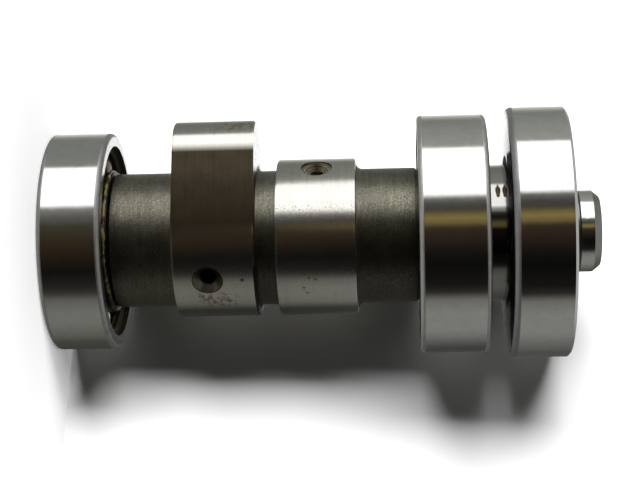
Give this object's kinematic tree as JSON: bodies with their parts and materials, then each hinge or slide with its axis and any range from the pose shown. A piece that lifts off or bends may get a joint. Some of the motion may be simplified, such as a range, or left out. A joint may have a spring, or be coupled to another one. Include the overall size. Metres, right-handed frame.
{
  "type": "camshaft",
  "caption": "Overhead camshaft with an intake and an exhaust lobe, an open ball bearing near each end and a pressed-on sprocket flange with a pilot spigot.",
  "frame": {"origin": "on the shaft's axis, in the plane of bearing A's outer face, on which the part stands", "axes": "+Z along the shaft from bearing A to the pilot spigot; lobe 1's nose points 12 degrees from -X towards -Y, lobe 2's nose along +Y"},
  "size_m": [0.0368, 0.0368, 0.0802],
  "materials": {
    "camshaft": "dull turned shaft, ground cam lobes",
    "sprocket_flange": "fine ground, polished rim",
    "bearing_ring": "ground bearing steel",
    "ball": "polished",
    "cage": "pressed sheet steel with a film of grease"
  },
  "bodies": {
    "camshaft": {"camshaft": "camshaft", "sprocket_flange": "sprocket_flange", "inner_ring_a": "bearing_ring", "inner_ring_b": "bearing_ring"},
    "outer_ring_a": {"outer_ring_a": "bearing_ring"},
    "cage_a": {"cage_a_left": "cage", "cage_a_right": "cage", "cage_rivets_a": "cage"},
    "ball_a_1": {"ball_a_1": "ball"},
    "ball_a_2": {"ball_a_2": "ball"},
    "ball_a_3": {"ball_a_3": "ball"},
    "ball_a_4": {"ball_a_4": "ball"},
    "ball_a_5": {"ball_a_5": "ball"},
    "ball_a_6": {"ball_a_6": "ball"},
    "ball_a_7": {"ball_a_7": "ball"},
    "ball_a_8": {"ball_a_8": "ball"},
    "ball_a_9": {"ball_a_9": "ball"},
    "outer_ring_b": {"outer_ring_b": "bearing_ring"},
    "cage_b": {"cage_b_left": "cage", "cage_b_right": "cage", "cage_rivets_b": "cage"},
    "ball_b_1": {"ball_b_1": "ball"},
    "ball_b_2": {"ball_b_2": "ball"},
    "ball_b_3": {"ball_b_3": "ball"},
    "ball_b_4": {"ball_b_4": "ball"},
    "ball_b_5": {"ball_b_5": "ball"},
    "ball_b_6": {"ball_b_6": "ball"},
    "ball_b_7": {"ball_b_7": "ball"},
    "ball_b_8": {"ball_b_8": "ball"},
    "ball_b_9": {"ball_b_9": "ball"},
    "ball_b_10": {"ball_b_10": "ball"}
  },
  "joints": [
    {"name": "bearing_a_turn", "type": "hinge", "parent": "camshaft", "child": "outer_ring_a", "pos_m": [0, 0, 0.0045], "axis": [0, 0, 1], "continuous": true},
    {"name": "cage_a_turn", "type": "hinge", "parent": "camshaft", "child": "cage_a", "pos_m": [0, 0, 0.0045], "axis": [0, 0, 1], "continuous": true},
    {"name": "ball_a_1_spin", "type": "hinge", "parent": "cage_a", "child": "ball_a_1", "pos_m": [0.01175, 0, 0.0045], "axis": [0, 0, 1], "continuous": true},
    {"name": "ball_a_2_spin", "type": "hinge", "parent": "cage_a", "child": "ball_a_2", "pos_m": [0.009, 0.00755, 0.0045], "axis": [0, 0, 1], "continuous": true},
    {"name": "ball_a_3_spin", "type": "hinge", "parent": "cage_a", "child": "ball_a_3", "pos_m": [0.00204, 0.01157, 0.0045], "axis": [0, 0, 1], "continuous": true},
    {"name": "ball_a_4_spin", "type": "hinge", "parent": "cage_a", "child": "ball_a_4", "pos_m": [-0.00588, 0.01018, 0.0045], "axis": [0, 0, 1], "continuous": true},
    {"name": "ball_a_5_spin", "type": "hinge", "parent": "cage_a", "child": "ball_a_5", "pos_m": [-0.01104, 0.00402, 0.0045], "axis": [0, 0, 1], "continuous": true},
    {"name": "ball_a_6_spin", "type": "hinge", "parent": "cage_a", "child": "ball_a_6", "pos_m": [-0.01104, -0.00402, 0.0045], "axis": [0, 0, 1], "continuous": true},
    {"name": "ball_a_7_spin", "type": "hinge", "parent": "cage_a", "child": "ball_a_7", "pos_m": [-0.00588, -0.01018, 0.0045], "axis": [0, 0, 1], "continuous": true},
    {"name": "ball_a_8_spin", "type": "hinge", "parent": "cage_a", "child": "ball_a_8", "pos_m": [0.00204, -0.01157, 0.0045], "axis": [0, 0, 1], "continuous": true},
    {"name": "ball_a_9_spin", "type": "hinge", "parent": "cage_a", "child": "ball_a_9", "pos_m": [0.009, -0.00755, 0.0045], "axis": [0, 0, 1], "continuous": true},
    {"name": "bearing_b_turn", "type": "hinge", "parent": "camshaft", "child": "outer_ring_b", "pos_m": [0, 0, 0.0587], "axis": [0, 0, 1], "continuous": true},
    {"name": "cage_b_turn", "type": "hinge", "parent": "camshaft", "child": "cage_b", "pos_m": [0, 0, 0.0587], "axis": [0, 0, 1], "continuous": true},
    {"name": "ball_b_1_spin", "type": "hinge", "parent": "cage_b", "child": "ball_b_1", "pos_m": [0.013, 0, 0.0587], "axis": [0, 0, 1], "continuous": true},
    {"name": "ball_b_2_spin", "type": "hinge", "parent": "cage_b", "child": "ball_b_2", "pos_m": [0.01052, 0.00764, 0.0587], "axis": [0, 0, 1], "continuous": true},
    {"name": "ball_b_3_spin", "type": "hinge", "parent": "cage_b", "child": "ball_b_3", "pos_m": [0.00402, 0.01236, 0.0587], "axis": [0, 0, 1], "continuous": true},
    {"name": "ball_b_4_spin", "type": "hinge", "parent": "cage_b", "child": "ball_b_4", "pos_m": [-0.00402, 0.01236, 0.0587], "axis": [0, 0, 1], "continuous": true},
    {"name": "ball_b_5_spin", "type": "hinge", "parent": "cage_b", "child": "ball_b_5", "pos_m": [-0.01052, 0.00764, 0.0587], "axis": [0, 0, 1], "continuous": true},
    {"name": "ball_b_6_spin", "type": "hinge", "parent": "cage_b", "child": "ball_b_6", "pos_m": [-0.013, 0, 0.0587], "axis": [0, 0, 1], "continuous": true},
    {"name": "ball_b_7_spin", "type": "hinge", "parent": "cage_b", "child": "ball_b_7", "pos_m": [-0.01052, -0.00764, 0.0587], "axis": [0, 0, 1], "continuous": true},
    {"name": "ball_b_8_spin", "type": "hinge", "parent": "cage_b", "child": "ball_b_8", "pos_m": [-0.00402, -0.01236, 0.0587], "axis": [0, 0, 1], "continuous": true},
    {"name": "ball_b_9_spin", "type": "hinge", "parent": "cage_b", "child": "ball_b_9", "pos_m": [0.00402, -0.01236, 0.0587], "axis": [0, 0, 1], "continuous": true},
    {"name": "ball_b_10_spin", "type": "hinge", "parent": "cage_b", "child": "ball_b_10", "pos_m": [0.01052, -0.00764, 0.0587], "axis": [0, 0, 1], "continuous": true}
  ],
  "couplings": [
    {"joint": "cage_a_turn", "follows": "bearing_a_turn", "ratio": 0.60132},
    {"joint": "ball_a_1_spin", "follows": "bearing_a_turn", "ratio": 2.3661},
    {"joint": "ball_a_2_spin", "follows": "bearing_a_turn", "ratio": 2.3661},
    {"joint": "ball_a_3_spin", "follows": "bearing_a_turn", "ratio": 2.3661},
    {"joint": "ball_a_4_spin", "follows": "bearing_a_turn", "ratio": 2.3661},
    {"joint": "ball_a_5_spin", "follows": "bearing_a_turn", "ratio": 2.3661},
    {"joint": "ball_a_6_spin", "follows": "bearing_a_turn", "ratio": 2.3661},
    {"joint": "ball_a_7_spin", "follows": "bearing_a_turn", "ratio": 2.3661},
    {"joint": "ball_a_8_spin", "follows": "bearing_a_turn", "ratio": 2.3661},
    {"joint": "ball_a_9_spin", "follows": "bearing_a_turn", "ratio": 2.3661},
    {"joint": "cage_b_turn", "follows": "bearing_b_turn", "ratio": 0.59158},
    {"joint": "ball_b_1_spin", "follows": "bearing_b_turn", "ratio": 2.6384},
    {"joint": "ball_b_2_spin", "follows": "bearing_b_turn", "ratio": 2.6384},
    {"joint": "ball_b_3_spin", "follows": "bearing_b_turn", "ratio": 2.6384},
    {"joint": "ball_b_4_spin", "follows": "bearing_b_turn", "ratio": 2.6384},
    {"joint": "ball_b_5_spin", "follows": "bearing_b_turn", "ratio": 2.6384},
    {"joint": "ball_b_6_spin", "follows": "bearing_b_turn", "ratio": 2.6384},
    {"joint": "ball_b_7_spin", "follows": "bearing_b_turn", "ratio": 2.6384},
    {"joint": "ball_b_8_spin", "follows": "bearing_b_turn", "ratio": 2.6384},
    {"joint": "ball_b_9_spin", "follows": "bearing_b_turn", "ratio": 2.6384},
    {"joint": "ball_b_10_spin", "follows": "bearing_b_turn", "ratio": 2.6384}
  ]
}
